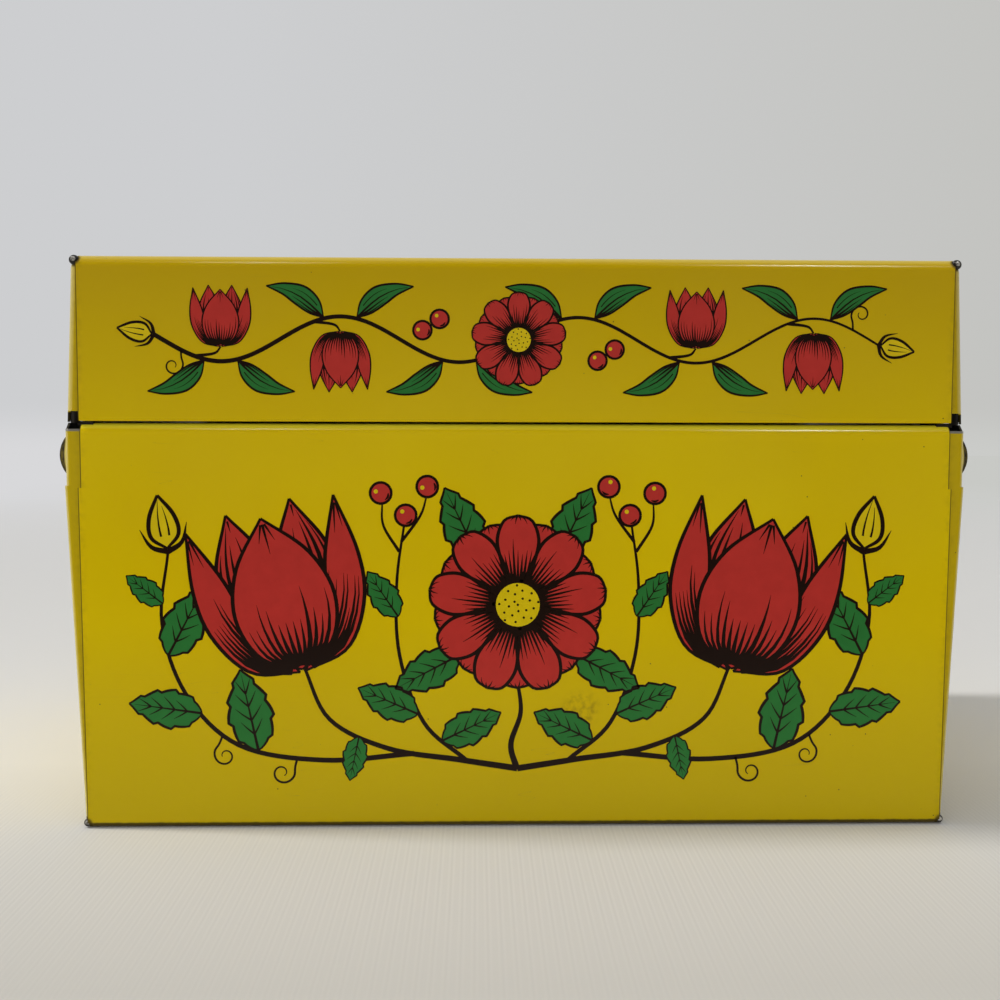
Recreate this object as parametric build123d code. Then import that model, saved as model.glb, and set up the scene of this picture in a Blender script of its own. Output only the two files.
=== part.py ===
from build123d import *
from math import cos, radians, sin
import os

# A folded tinplate card box with a hinged lid. Millimetres, +Z up.
# The origin is on the floor below the middle of the box, +X runs along the long side,
# and the hinge wall is the one at -Y.

# Overall sizes
box_depth = 89.0            # hinge wall to far wall, outside
box_height = 87.8           # floor to the top of the closed lid
base_height = 62.6          # floor to the rolled rim of the base
lid_gap = 0.25              # air between the rim and the lid's lower edge
end_gap = 0.1               # air between the edges of the two ends, one above the other
sheet = 0.3                 # tinplate
box_length = 133.8          # outside length over the ends, at the floor

# Ends of the base: they lean out as they rise, then step in to an upright band
base_spread = 2.25          # outward lean of an end, from the floor to the step
joggle = 0.25               # step in from the leaning part to the upright band
joggle_lap = 0.3            # height over which the two parts of the step overlap
tab_width = 8.0             # flanges of the ends that lie inside the wrappers
tab_top_gap = 0.2           # tab below the rolled rim, and above the hem

# Ends of the lid: they lean in as they rise
lid_draw_in = 1.05          # inward lean of an end, from the lower edge to the top

# Folds
base_bend_radius = 1.1      # outside radius where the walls of the base meet its bottom
lid_bend_radius = 1.9       # outside radius where the walls of the lid meet its top
nest_gap = 0.1              # the ends' bends are this much rounder than the wrappers'
rim_radius = 1.8            # outside radius of the rolled rim
rim_lip = 1.5               # flat of the rim beyond its bend
hem_height = 3.0            # folded-in edge of the lid's long walls
hem_flat = 0.06             # flat left between the two rounds of a hem's fold

# Strip of each end that shows beside the edge of a wrapper
foot_strip = 0.5            # at the floor
joggle_strip = 2.3          # just below the step
band_strip = 2.45           # above the step
lid_strip = 2.2             # at the lid's lower edge

# Pivot: a pressed dome in each end of the base, with the dome of an ear inside it
pivot_inset = 4.9           # behind the hinge wall
pivot_drop = 5.0            # below the rim of the base
dome_height = 2.05          # how far the dome stands out of the end
dome_radius = 4.9           # of the sphere that the dome is part of
dome_gap = 0.08             # air between the two domes
dome_seat = 0.05            # a dome starts this far below the face of its sheet
ear_side_gap = 0.165        # air between an ear and the end of the base

# Ears: steel, fixed inside the ends of the lid
ear_thickness = 0.4
ear_disc_radius = 3.95      # round end of the ear, about the pivot
ear_heel_length = 11.0      # pivot to the back edge of the ear
ear_reach = 15.0            # pivot to the top edge of the ear
ear_corner_radius = 2.5
slot_gap = 0.12             # air round the wall of the base as it passes through the slot
slot_end_angle = 50.0       # end of the slot, past upright

# Room for the motion at the hinge corner, cut out of the upper and lower edges of the ends
base_relief_drop = 0.95     # end of the base below the rim
base_relief_length = 1.3
lid_relief_rise = 1.5       # end of the lid above the lower edge of its wall
lid_relief_length = 1.1
relief_ramp = 1.0
far_relief_length = 2.0

overshoot = 1.0             # cutters run this far past what they cut
near_cut = 0.03             # edges this near an open side stay sharp

# Places that follow from the sizes above
half_depth = box_depth / 2
end_half_depth = half_depth - sheet
foot_half = box_length / 2
lid_edge = base_height + lid_gap
lid_end_edge = base_height + end_gap
pivot_y = pivot_inset - half_depth
pivot_z = base_height - pivot_drop
joggle_z = pivot_z - pivot_inset
joggle_half = foot_half + base_spread
base_lean = base_spread / (joggle_z - sheet)
band_half = joggle_half - joggle
ear_face = band_half - sheet - ear_side_gap
base_corner_reach = ((pivot_inset - sheet) ** 2 + (pivot_drop - base_relief_drop) ** 2) ** 0.5
sweep_radius = base_corner_reach + slot_gap     # the corner of the base keeps inside it as the lid turns
ear_bend_z = lid_edge + lid_relief_rise
lid_lean = lid_draw_in / (box_height - sheet - lid_end_edge)
lid_edge_half = ear_face + sheet + lid_lean * (ear_bend_z - lid_end_edge)
lid_top_half = lid_edge_half - lid_draw_in
lid_wrapper_half = lid_edge_half - lid_strip
band_wrapper_half = band_half - band_strip
tab_end = foot_half - foot_strip - tab_width
dome_centre_x = band_half + dome_height - dome_radius


def plate_along_y(points, half_width):
    """A face given by (x, z) points, thickened to both sides of the XZ plane."""
    outline = Polyline([(x, 0, z) for x, z in points], close=True)
    return extrude(make_face(outline), amount=half_width, dir=(0, 1, 0), both=True)


def plate_along_x(points, low, high):
    """A face given by (y, z) points, thickened from x = low to x = high."""
    outline = Polyline([(low, y, z) for y, z in points], close=True)
    return extrude(make_face(outline), amount=high - low, dir=(1, 0, 0))


def ring(low, high, low_radius, high_radius):
    """Section of a folded strip as a closed ring of sheet between two heights."""
    outside = Pos(0, (low + high) / 2) * Rectangle(box_depth, high - low)
    inside = Pos(0, (low + high) / 2) * Rectangle(box_depth - 2 * sheet, high - low - 2 * sheet)
    section = []
    for shape, inset in ((outside, 0), (inside, sheet)):
        shape = fillet(shape.vertices().group_by(Axis.Y)[-1], high_radius - inset)
        shape = fillet(shape.vertices().group_by(Axis.Y)[0], low_radius - inset)
        section.append(shape)
    return section[0] - section[1]


def base_wrapper():
    """Hinge wall, bottom and far wall of the base in one strip, with rolled rims."""
    section = ring(0, base_height, base_bend_radius, rim_radius)
    mouth = half_depth - rim_radius - rim_lip
    section -= Pos(0, base_height) * Rectangle(2 * mouth, 2 * rim_radius)
    strip = extrude(Plane.YZ * section, amount=joggle_half, both=True)
    foot = foot_half - foot_strip
    side = [(foot, 0), (joggle_half - joggle_strip, joggle_z), (band_wrapper_half, joggle_z)]
    side += [(band_wrapper_half, base_height)]
    side += [(-x, z) for x, z in reversed(side)]
    return strip & plate_along_y(side, half_depth)


def lid_wrapper():
    """Hinge wall, top and far wall of the lid in one strip, with hemmed lower edges."""
    section = ring(lid_edge, box_height, lid_bend_radius, lid_bend_radius)
    section -= Pos(0, lid_edge) * Rectangle(box_depth + overshoot, 2 * hem_height)
    hem = Rectangle(2 * sheet, hem_height)
    hem = fillet(hem.vertices().group_by(Axis.Y)[0], sheet - hem_flat / 2)
    for side in (-1, 1):
        section += Pos(side * (half_depth - sheet), lid_edge + hem_height / 2) * hem
    return extrude(Plane.YZ * section, amount=lid_wrapper_half, both=True)


def pan_block(low_half, high_half, low, high, radius, inset, shut_low, shut_high):
    """The right-hand end of a box as a solid block, inset on its closed sides."""
    lean = (high_half - low_half) / (high - low)
    bottom = low + inset if shut_low else low - inset
    top = high - inset if shut_high else high + inset
    inner = tab_end - inset
    outline = [(inner, bottom), (low_half + lean * (bottom - low) - inset, bottom),
               (low_half + lean * (top - low) - inset, top), (inner, top)]
    block = plate_along_y(outline, end_half_depth - inset)
    bends = [edge for edge in block.edges()
             if edge.center().X > inner + near_cut
             and (shut_low or edge.center().Z > bottom + near_cut)
             and (shut_high or edge.center().Z < top - near_cut)]
    return fillet(bends, radius - inset)


def pan(low_half, high_half, low, high, radius, shut_low=False, shut_high=False):
    """The sheet of an end: the block with the same block, one sheet smaller, taken out."""
    outside = pan_block(low_half, high_half, low, high, radius, 0, shut_low, shut_high)
    inside = pan_block(low_half, high_half, low, high, radius, sheet, shut_low, shut_high)
    return outside - inside


def dome_cap(radius, seat, rounded=True):
    """The part of the pivot's sphere beyond the plane x = seat, turned from an arc or two strokes."""
    start = seat - dome_centre_x
    middle = (start + radius) / 2
    points = [(dome_centre_x + x, (radius ** 2 - x ** 2) ** 0.5) for x in (start, middle, radius)]
    curve = ThreePointArc(*points) if rounded else Polyline(points)
    half = Polyline([points[0], (seat, 0), points[2]]) + curve
    return Pos(0, pivot_y, pivot_z) * revolve(make_face(half), Axis.X)


def pressed_dome(part, radius, thickness, face, rounded_inside=True):
    """The part's sheet with a hollow dome about the pivot pressed out of its outer face."""
    pressed = part + dome_cap(radius, face - dome_seat)
    return pressed - dome_cap(radius - thickness, face - thickness - dome_seat, rounded_inside)


def base_end():
    """Right-hand end of the base."""
    radius = base_bend_radius - sheet + nest_gap
    lapped = joggle_half + base_lean * joggle_lap
    leaning = pan(foot_half, lapped, sheet, joggle_z + joggle_lap, radius, shut_low=True)
    band = pan(band_half, band_half, joggle_z - joggle_lap, base_height, radius)
    end = leaning + band
    low = base_height - base_relief_drop
    relief = [(-half_depth - overshoot, low), (-half_depth + base_relief_length, low),
              (-half_depth + base_relief_length + relief_ramp, base_height),
              (half_depth - far_relief_length - relief_ramp, base_height),
              (half_depth - far_relief_length, low), (half_depth + overshoot, low),
              (half_depth + overshoot, base_height + overshoot),
              (-half_depth - overshoot, base_height + overshoot)]
    end -= plate_along_x(relief, tab_end - overshoot, joggle_half + overshoot)
    tab_top = base_height - rim_radius - tab_top_gap
    end -= Pos(0, 0, tab_top + box_height / 2) * Box(
        2 * band_wrapper_half, box_depth + overshoot, box_height)
    return pressed_dome(end, dome_radius, sheet, band_half)


def lid_end():
    """Right-hand end of the lid."""
    radius = lid_bend_radius - sheet + nest_gap
    end = pan(lid_edge_half, lid_top_half, lid_end_edge, box_height - sheet, radius, shut_high=True)
    relief = [(-half_depth - overshoot, lid_end_edge - overshoot), (-half_depth - overshoot, ear_bend_z),
              (-half_depth + lid_relief_length, ear_bend_z),
              (-half_depth + lid_relief_length, lid_end_edge - overshoot)]
    end -= plate_along_x(relief, tab_end - overshoot, lid_edge_half + overshoot)
    end -= Pos(band_half, pivot_y, pivot_z) * Rot(0, 90, 0) * Cylinder(sweep_radius, 2 * tab_width)
    tab_bottom = lid_edge + hem_height + tab_top_gap
    end -= Pos(0, 0, tab_bottom - box_height / 2) * Box(
        2 * lid_wrapper_half, box_depth + overshoot, box_height)
    return end


def ear_outline():
    """Side view of an ear about the pivot: u points away from the hinge wall, w up."""
    leg_bottom = pivot_drop - slot_gap / 2
    front = 2 * sheet - pivot_inset
    flange = Pos((front + ear_heel_length) / 2, (leg_bottom + ear_reach) / 2) * Rectangle(
        ear_heel_length - front, ear_reach - leg_bottom)
    heel = Pos(ear_heel_length / 2, (sweep_radius - ear_disc_radius) / 2) * Rectangle(
        ear_heel_length, sweep_radius + ear_disc_radius)
    plate = flange + heel
    corners = [v for v in plate.vertices() if v.X > ear_heel_length - sheet]
    plate = fillet(corners, ear_corner_radius)
    plate += Circle(ear_disc_radius)
    reach = 2 * sweep_radius
    angle = radians(90 - slot_end_angle)
    behind = Polyline([(0, 0), (reach * cos(angle), reach * sin(angle)), (reach, -reach), (0, -reach)],
                      close=True)
    slot = Circle(sweep_radius) - Circle(ear_disc_radius) - make_face(behind)
    return plate - slot


def ear_block(inset):
    """The room in a corner of the lid that an ear may fill, inset on its two closed sides."""
    low = pivot_z - ear_disc_radius - overshoot
    high = pivot_z + ear_reach + overshoot
    inner = band_wrapper_half + slot_gap - inset
    outer = ear_face - inset
    block = plate_along_y([(inner, low), (outer, low), (outer, ear_bend_z),
                           (outer - lid_lean * (high - ear_bend_z), high), (inner, high)],
                          end_half_depth - sheet - inset)
    corner = [edge for edge in block.edges() if edge.center().X > inner + sheet
              and edge.center().Y < 0 and low + sheet < edge.center().Z < high - sheet]
    return fillet(corner, lid_bend_radius - 2 * sheet + 2 * nest_gap - inset)


def hinge_ear():
    """Right-hand ear: a bent steel strip cut to the ear's outline, with its dome."""
    strip = ear_block(0) - ear_block(ear_thickness)
    side_view = Plane(origin=(0, pivot_y, pivot_z), x_dir=(0, 1, 0), z_dir=(1, 0, 0)) * ear_outline()
    ear = strip & extrude(side_view, amount=band_half, dir=(1, 0, 0))
    return pressed_dome(ear, dome_radius - sheet - dome_gap, ear_thickness, ear_face, rounded_inside=False)


def write_part(node, shape):
    """One file per piece."""
    export_step(Part() + shape, f"parts/{node}.step")


os.makedirs("parts", exist_ok=True)
write_part("base_wrapper", base_wrapper())
write_part("lid_wrapper", lid_wrapper())
for name, make in (("base_end", base_end), ("lid_end", lid_end), ("hinge_ear", hinge_ear)):
    right = make()
    write_part(f"{name}_right", right)
    write_part(f"{name}_left", mirror(right, about=Plane.YZ))
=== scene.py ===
from math import cos, pi, radians, sin
from random import Random

import bpy
from mathutils import Matrix, Vector


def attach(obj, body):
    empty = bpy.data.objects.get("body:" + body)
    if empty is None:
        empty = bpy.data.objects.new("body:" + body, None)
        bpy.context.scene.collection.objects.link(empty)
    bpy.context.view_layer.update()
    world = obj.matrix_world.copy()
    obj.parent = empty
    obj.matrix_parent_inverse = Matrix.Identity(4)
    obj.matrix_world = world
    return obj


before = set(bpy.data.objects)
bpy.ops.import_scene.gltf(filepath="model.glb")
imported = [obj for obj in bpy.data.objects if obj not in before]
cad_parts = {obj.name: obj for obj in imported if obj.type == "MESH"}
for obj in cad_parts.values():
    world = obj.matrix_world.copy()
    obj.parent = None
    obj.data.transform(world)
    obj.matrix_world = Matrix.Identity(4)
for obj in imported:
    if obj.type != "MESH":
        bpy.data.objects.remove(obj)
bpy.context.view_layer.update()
mm = 0.001
print("frame loaded")


def linear(code):  # sRGB hex to the linear values that the shaders take
    parts = [int(code[i:i + 2], 16) / 255 for i in (1, 3, 5)]
    return (*(c / 12.92 if c <= 0.04045 else ((c + 0.055) / 1.055) ** 2.4 for c in parts), 1)


def add(tree, kind, inputs=None, **settings):  # a node; each input is a constant, a node or a socket
    node = tree.nodes.new(kind)
    for key, value in settings.items():
        setattr(node, key, value)
    for key, value in (inputs or {}).items():
        if isinstance(value, bpy.types.Node):
            value = value.outputs[0]
        if isinstance(value, bpy.types.NodeSocket):
            tree.links.new(value, node.inputs[key])
        else:
            node.inputs[key].default_value = value
    return node


def newMaterial(name):  # the material, its empty tree and the place on the object
    material = bpy.data.materials.new(name)
    material.use_nodes = True
    tree = material.node_tree
    tree.nodes.clear()
    return material, tree, add(tree, "ShaderNodeTexCoord").outputs["Object"]


def laidOver(tree, under, over, *amounts):  # one colour over another, by the product of the amounts
    under, over = [linear(tone) if isinstance(tone, str) else tone for tone in (under, over)]
    share = amounts[0]
    for amount in amounts[1:]:
        share = add(tree, "ShaderNodeMath", {0: share, 1: amount}, operation="MULTIPLY")
    return add(tree, "ShaderNodeMix", {"Factor": share, 6: under, 7: over}, data_type="RGBA").outputs[2]


def plainObject(name, data):
    thing = bpy.data.objects.new(name, data)
    bpy.context.scene.collection.objects.link(thing)
    return thing


def newStamp(name, kinds):  # a geometry tree, its input sockets' identifiers and what they bring
    tree = bpy.data.node_groups.new(name, "GeometryNodeTree")
    sockets = {key: tree.interface.new_socket(key, in_out="INPUT", socket_type="NodeSocket" + kind).identifier
               for key, kind in kinds.items()}
    tree.interface.new_socket("Shape", in_out="OUTPUT", socket_type="NodeSocketGeometry")
    return tree, sockets, add(tree, "NodeGroupInput").outputs


def stamped(thing, tree, sockets, values):  # the mesh that the tree makes of the thing's points
    modifier = thing.modifiers.new("stamp", "NODES")
    modifier.node_group = tree
    for name, value in values.items():
        modifier[sockets[name]] = value
    return bpy.data.meshes.new_from_object(thing.evaluated_get(bpy.context.evaluated_depsgraph_get()))


# Camera: found from the edges of the box in the picture
camera = {
    "place": (-6.45 * mm, -215.5 * mm, 61.6 * mm),
    "down": radians(3.56),
    "right": radians(1.227),    # turned towards +X
    "roll": radians(0.155),
    "lens": 40.32,
    "film": 36.0,
    "clip": (0.01, 20),
}
right, down, roll = camera["right"], camera["down"], camera["roll"]
ahead = Vector((sin(right) * cos(down), cos(right) * cos(down), -sin(down)))
across = Vector((cos(right), -sin(right), 0))
upward = across.cross(ahead)
sideways = across * cos(roll) + upward * sin(roll)
top = upward * cos(roll) - across * sin(roll)
lens = bpy.data.cameras.new("studioCamera")
lens.lens = camera["lens"]
lens.sensor_width = camera["film"]
lens.sensor_fit = "HORIZONTAL"
lens.clip_start, lens.clip_end = camera["clip"]
eye = plainObject("studioCamera", lens)
eye.matrix_world = Matrix.Translation(camera["place"]) @ Matrix((sideways, top, -ahead)).transposed().to_4x4()
bpy.context.scene.camera = eye
bpy.context.scene.view_settings.view_transform = "Standard"
print("camera set")

# Stage: a pale floor that runs on to a plain wall far behind. Depths are in metres behind the box's middle
stage = {
    "floor": "#F3F3F2",
    "floorNearShade": "#D0CFCB",     # painted shade: the cloth is painted darker towards the camera
    "floorFront": "#5E5D5A",    # and dark behind it, where the picture does not reach
    "near": (-0.095, -0.01),    # depths between which the floor's tone gives way to the near one
    "front": (-0.22, -0.11),    # and the near one to the front one
    "farLeft": "#D8D8DA",       # where the paper sweeps up to the wall; painted light: the sweep and the wall are lighter on the left than on the right
    "farRight": "#C8C9C5",
    "farSpan": (-0.5, 0.6),     # from left to right, in metres
    "sweep": (0.2, 0.8),        # depths between which the floor turns to the sweep's tone
    "wallLeft": "#CDCED0",
    "wallRight": "#C2C2BE",
    "wallSpan": (-0.6, 1.6),
    "wallFoot": 0.14,           # metres of wall over which the sweep's tone gives way to the wall's
    "wallPlace": 2.6,
    "reach": 4.0,
    "drop": -0.02 * mm,         # the floor lies this far below the box, so that the two never flicker
    "rib": 0.815 * mm,          # pitch of the floor cloth's fine ribs, which run away from the camera
    "ribShade": 0.08,           # how much lighter a rib is than the groove beside it
    "ribsFrom": (-0.098, -0.07),        # the ribs are seen sharp only near the box, as in the picture
    "ribsTo": (-0.05, -0.01),
    "grain": 2 / 3 * mm,
}


def makeSheet(name, corners, material):
    mesh = bpy.data.meshes.new(name)
    mesh.from_pydata(corners, [], [range(len(corners))])
    mesh.materials.append(material)
    plainObject(name, mesh)


def seenRays(tree):  # rays that reach the backdrop from the camera or by way of a gloss
    path = add(tree, "ShaderNodeLightPath")
    return add(tree, "ShaderNodeMath", {0: path.outputs["Is Camera Ray"], 1: path.outputs["Is Glossy Ray"]},
               operation="MAXIMUM")


def leftToRight(tree, across, span, left, right):  # a tone that changes slowly from one side to the other
    share = add(tree, "ShaderNodeMapRange", {"Value": across, "From Min": stage[span][0],
                                             "From Max": stage[span][1]})
    return laidOver(tree, stage[left], stage[right], share)


def floorCloth():  # matt ribbed cloth: two fine pitches of rib that beat against each other, hardly any gloss
    material, tree, place = newMaterial("ribbedFloorCloth")
    across, depth, _ = add(tree, "ShaderNodeSeparateXYZ", {0: place}).outputs
    waveScale = 2 * pi / 20         # a wave texture of this scale repeats once in a metre
    wide, fine = [add(tree, "ShaderNodeTexWave", {
        "Vector": place, "Scale": waveScale / pitch, "Distortion": 0.5, "Detail": 1.0,
        "Detail Scale": 1.5}).outputs["Fac"] for pitch in (stage["rib"], stage["rib"] * 2 / 3)]
    ribs = add(tree, "ShaderNodeMix", {"Factor": 0.4, 2: wide, 3: fine}).outputs[0]
    grain = add(tree, "ShaderNodeTexNoise", {"Vector": place, "Scale": 1 / stage["grain"], "Detail": 2.0})
    height = add(tree, "ShaderNodeMath", {0: ribs, 1: grain})
    bump = add(tree, "ShaderNodeBump", {"Strength": 0.12, "Distance": 0.05 * mm, "Height": height})

    # painted shade: the floor's tone darkens towards the camera, and turns dark further in front
    tone = stage["floor"]
    for reach, colour in (("near", "floorNearShade"), ("front", "floorFront")):
        start, end = stage[reach]
        share = add(tree, "ShaderNodeMapRange", {"Value": depth, "From Min": start, "From Max": end})
        tone = laidOver(tree, stage[colour], tone, share)

    start, end = stage["ribsFrom"]
    nearer = add(tree, "ShaderNodeMapRange", {"Value": depth, "From Min": start, "From Max": end,
                                              "To Min": 0.25})
    start, end = stage["ribsTo"]
    beyond = add(tree, "ShaderNodeMapRange", {"Value": depth, "From Min": start, "From Max": end,
                                              "To Min": 1.0, "To Max": 0.0}, interpolation_type="SMOOTHSTEP")
    sharp = add(tree, "ShaderNodeMath", {0: nearer, 1: beyond}, operation="MULTIPLY")
    swing = add(tree, "ShaderNodeMath", {0: ribs, 1: 0.5}, operation="SUBTRACT")
    swing = add(tree, "ShaderNodeMath", {0: swing, 1: sharp}, operation="MULTIPLY")
    shade = add(tree, "ShaderNodeMath", {0: swing, 1: stage["ribShade"], 2: 1.0}, operation="MULTIPLY_ADD")
    tone = add(tree, "ShaderNodeVectorMath", {0: tone, "Scale": shade}, operation="SCALE")
    shader = add(tree, "ShaderNodeBsdfPrincipled", {"Base Color": tone, "Roughness": 0.75,
                                                    "Specular IOR Level": 0.25, "Normal": bump})

    far = leftToRight(tree, across, "farSpan", "farLeft", "farRight")
    start, end = stage["sweep"]
    away = add(tree, "ShaderNodeMapRange", {"Value": depth, "From Min": start, "From Max": end})
    glow = add(tree, "ShaderNodeMath", {0: away, 1: seenRays(tree)}, operation="MULTIPLY")
    bright = add(tree, "ShaderNodeEmission", {"Color": far})
    sweep = add(tree, "ShaderNodeMixShader", {0: glow, 1: shader, 2: bright})
    add(tree, "ShaderNodeOutputMaterial", {"Surface": sweep})
    return material


def wallPaper():  # plain wall, out of focus in the picture, so it has no grain
    material, tree, place = newMaterial("plainWall")
    across, _, height = add(tree, "ShaderNodeSeparateXYZ", {0: place}).outputs
    far = leftToRight(tree, across, "wallSpan", "farLeft", "farRight")
    wall = leftToRight(tree, across, "wallSpan", "wallLeft", "wallRight")
    rise = add(tree, "ShaderNodeMapRange", {"Value": height, "From Min": 0.0, "From Max": stage["wallFoot"]},
               interpolation_type="SMOOTHSTEP")
    tone = laidOver(tree, far, wall, rise)
    matt = add(tree, "ShaderNodeBsdfDiffuse", {"Color": tone})
    bright = add(tree, "ShaderNodeEmission", {"Color": tone, "Strength": 1.0})
    shader = add(tree, "ShaderNodeMixShader", {0: seenRays(tree), 1: matt, 2: bright})
    add(tree, "ShaderNodeOutputMaterial", {"Surface": shader})
    return material


wide, back, drop = stage["reach"], stage["wallPlace"], stage["drop"]
makeSheet("floor", [(-wide, -wide, drop), (wide, -wide, drop), (wide, back, drop), (-wide, back, drop)],
          floorCloth())
makeSheet("wall", [(-wide, back, 0), (wide, back, 0), (wide, back, wide), (-wide, back, wide)], wallPaper())

# Light: a low sun on the left, a weak room, a large front softbox, a strip on the left, and two ceiling panels
# that draw the gloss on the folds and give nothing else
lamps = {
    "key": {"from": (-0.66, 0.045, 0.75), "power": 1.36, "spread": radians(7), "tone": "#FFFDFA"},
    "front": {"place": (-0.015, -0.33, 0.14), "size": (0.8, 0.25), "power": 0.54, "tone": "#FFFDF8"},
    "left": {"place": (-0.45, -0.18, 0.09), "size": (0.03, 0.35), "power": 0.18, "tone": "#FFFFFF"},
    "panelRight": {"place": (0.33, -0.54, 0.90), "size": (0.13, 0.17), "power": 2.5, "tone": "#FFFFFF"},
    "panelLeft": {"place": (-0.22, -0.54, 0.90), "size": (0.08, 0.17), "power": 0.9, "tone": "#FFFFFF"},
}
target = Vector((0, 0, 0.045))
for name, lamp in lamps.items():
    if name == "key":
        light = bpy.data.lights.new(name, "SUN")
        light.angle = lamp["spread"]
        place = Vector(lamp["from"])
        turned = place.to_track_quat("Z", "Y")
    else:
        light = bpy.data.lights.new(name, "AREA")
        light.shape = "RECTANGLE"
        light.size, light.size_y = lamp["size"]
        place = Vector(lamp["place"])
        turned = (place - target).to_track_quat("Z", "Y")
    light.energy = lamp["power"]
    light.color = linear(lamp["tone"])[:3]
    source = plainObject(name, light)
    source.visible_glossy = name != "front"         # the softbox leaves no patch on the gloss
    source.visible_diffuse = not name.startswith("panel")
    source.matrix_world = Matrix.Translation(place) @ turned.to_matrix().to_4x4()

room = {
    "tone": "#E8E7E5",
    "wall": (0.18, 0.36),       # brightness behind the camera and behind the box
    "turn": (-0.7, 0.3),        # between these directions, as the cosine to +Y
    "ceiling": 1.15,            # added straight above
    "ceilingEdge": (0.84, 0.96),        # as the cosine to +Z
}
world = bpy.data.worlds.new("softRoom")
world.use_nodes = True
air = world.node_tree
air.nodes.clear()
compass = add(air, "ShaderNodeTexCoord").outputs["Generated"]
_, northing, zenith = add(air, "ShaderNodeSeparateXYZ", {0: compass}).outputs
dusk = add(air, "ShaderNodeMapRange", {
    "Value": northing, "From Min": room["turn"][0], "From Max": room["turn"][1],
    "To Min": room["wall"][0], "To Max": room["wall"][1]})
ceiling = add(air, "ShaderNodeMapRange", {
    "Value": zenith, "From Min": room["ceilingEdge"][0], "From Max": room["ceilingEdge"][1],
    "To Max": room["ceiling"]})
glow = add(air, "ShaderNodeMath", {0: dusk, 1: ceiling})
sky = add(air, "ShaderNodeBackground", {"Color": linear(room["tone"]), "Strength": glow})
add(air, "ShaderNodeOutputWorld", {"Surface": sky})
bpy.context.scene.world = world
print("stage and light set")

# Yellow lithographed enamel on tinplate: baked varnish over ink, bare tin inside, at cut edges and at corners
enamel = {
    "yellow": "#ECD000",
    "deep": "#E0BE00",          # where the coat is a little thicker
    "heightShade": {"base": "#C4AB00", "lid": "#CDAB00"},      # painted shade: darker towards the floor and towards the lid's top
    "foldLight": {"base": "#FFF03A", "lid": "#F6E884"},      # painted light: the folds at the base's rim and the lid's top are painted paler
    "dullAndShade": "#AB9219",          # painted shade: the ends' flanges are painted darker
    "rubbedAndSheen": "#FFF6B4",        # their upright bends, painted pale: a painted sheen
    "dirtAndShade": "#3A2A0C",          # old dirt, with painted shade along the seams, and darkening round the corner beads
    "undersideShade": "#3E3206",     # the bend along the floor: painted shade, and worn
    "smear": "#6E5216",
    "scratch": "#8A7A3A",
    # painted shade: the outer domes of the hinge are painted near black
    "dome": "#221C08",
    "hingeShade": "#0E0B07",
    "tin": "#D2CEC4",
    "tinDark": "#6F6A62",
}
wear = {                        # places and reaches in mm, and shares from 0 to 1
    "cut": (0.75, 0.9),         # a face is a cut edge where it turns this far sideways or up
    "split": (62.7, 2.6, 3.0),          # the ends' edges are bare within this reach of the split
    "edge": (61.5, 0.14, 0.24),         # and here, where the base's ends are cut back: a band left bare and pale, worn tin and a painted highlight
    "heightShade": {"base": (32.0, 0.0, 0.95), "lid": (54.0, 86.0, 0.95)},     # from, to, how much
    "foldLight": {"base": (61.6, 62.1, 0.95), "lid": (87.0, 87.7, 0.4)},
    "flangeShade": (41.5, 43.0),     # from where to where, outwards
    "bend": (42.7, 43.5),
    "bandShare": 0.5,           # of the flanges' and bends' own colours
    "bendTurn": (0.3, 0.8),
    "seam": (0.068, 0.17),      # the dark line along a wrapper's edge, dirt and painted shade of the step, ends between these distances
    "border": (0.1, 1.5),       # and so does the patchy dirt beside it
    "borderShare": 0.16,
    "corner": (0.75, 1.25),
    "speck": (3.4, 0.14),       # spacing and size
    "dirtAndShadeShare": 0.86,
    "smearPlace": (9.8, -44.5, 18.4),           # the rubbed spot below the middle
    "smear": (1.14, 3.8),
    "smearShare": 0.55,
    "scratch": (0.0008, 0.0016),        # share of the noise that shows as a scratch
    "scratchShare": 0.35,
    "floorBend": (0.0, 0.7, 1.0),       # height of the middle, and the reaches
    "floorBendShare": 0.94,
    "floorWobble": 0.24,
    "dome": (69.0, 69.3),
    "hingeHeight": (62.93, 1.23, 1.28),         # painted shade: the hinge corner is painted black
    "hingeDepth": (-44.5, 5.5, 7.5),
    "hingeShare": 0.97,
}
patterns = {                    # sizes in mm
    "sheetWave": (35.714, 0.22),        # thin sheet is never quite flat: length and height
    "skin": (1.1111, 0.004),    # the coat's faint skin
    "drift": 28.571,            # the slow change of the coat's thickness
    "patch": 1.1111,            # dirt, drawn as coarse as it needs to show
    "scratchLength": 90.909,
    "scratchSpread": 14.286,
    "tin": 4.5455,              # the cloudy surface of tin
    "steel": 2.5,
    "ink": 2.0,                 # unevenness of the printed ink
    "handling": 16.667,         # smears that make the gloss uneven
}
wrappers = {body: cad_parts[body + "_wrapper"].data for body in ("base", "lid")}


def edgeOf(body, low, high):  # half the length of a wrapper between two heights in mm
    return max(abs(v.co.x) for v in wrappers[body].vertices if low * mm <= v.co.z <= high * mm)


box = {                         # half lengths of the wrappers at their edges in metres, the rest in mm
    "base": {"middle": 31.0, "corner": (66.5, 43.95, 0.75), "foot": edgeOf("base", 0, 0.05),
             "step": edgeOf("base", 50, 60), "stepHeight": 52.7, "band": edgeOf("base", 62, 63)},
    "lid": {"middle": 75.3, "corner": (66.95, 43.84, 87.02), "foot": edgeOf("lid", 62, 65)},
}


def inMetres(sizes):
    return [size * mm for size in sizes]


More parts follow.
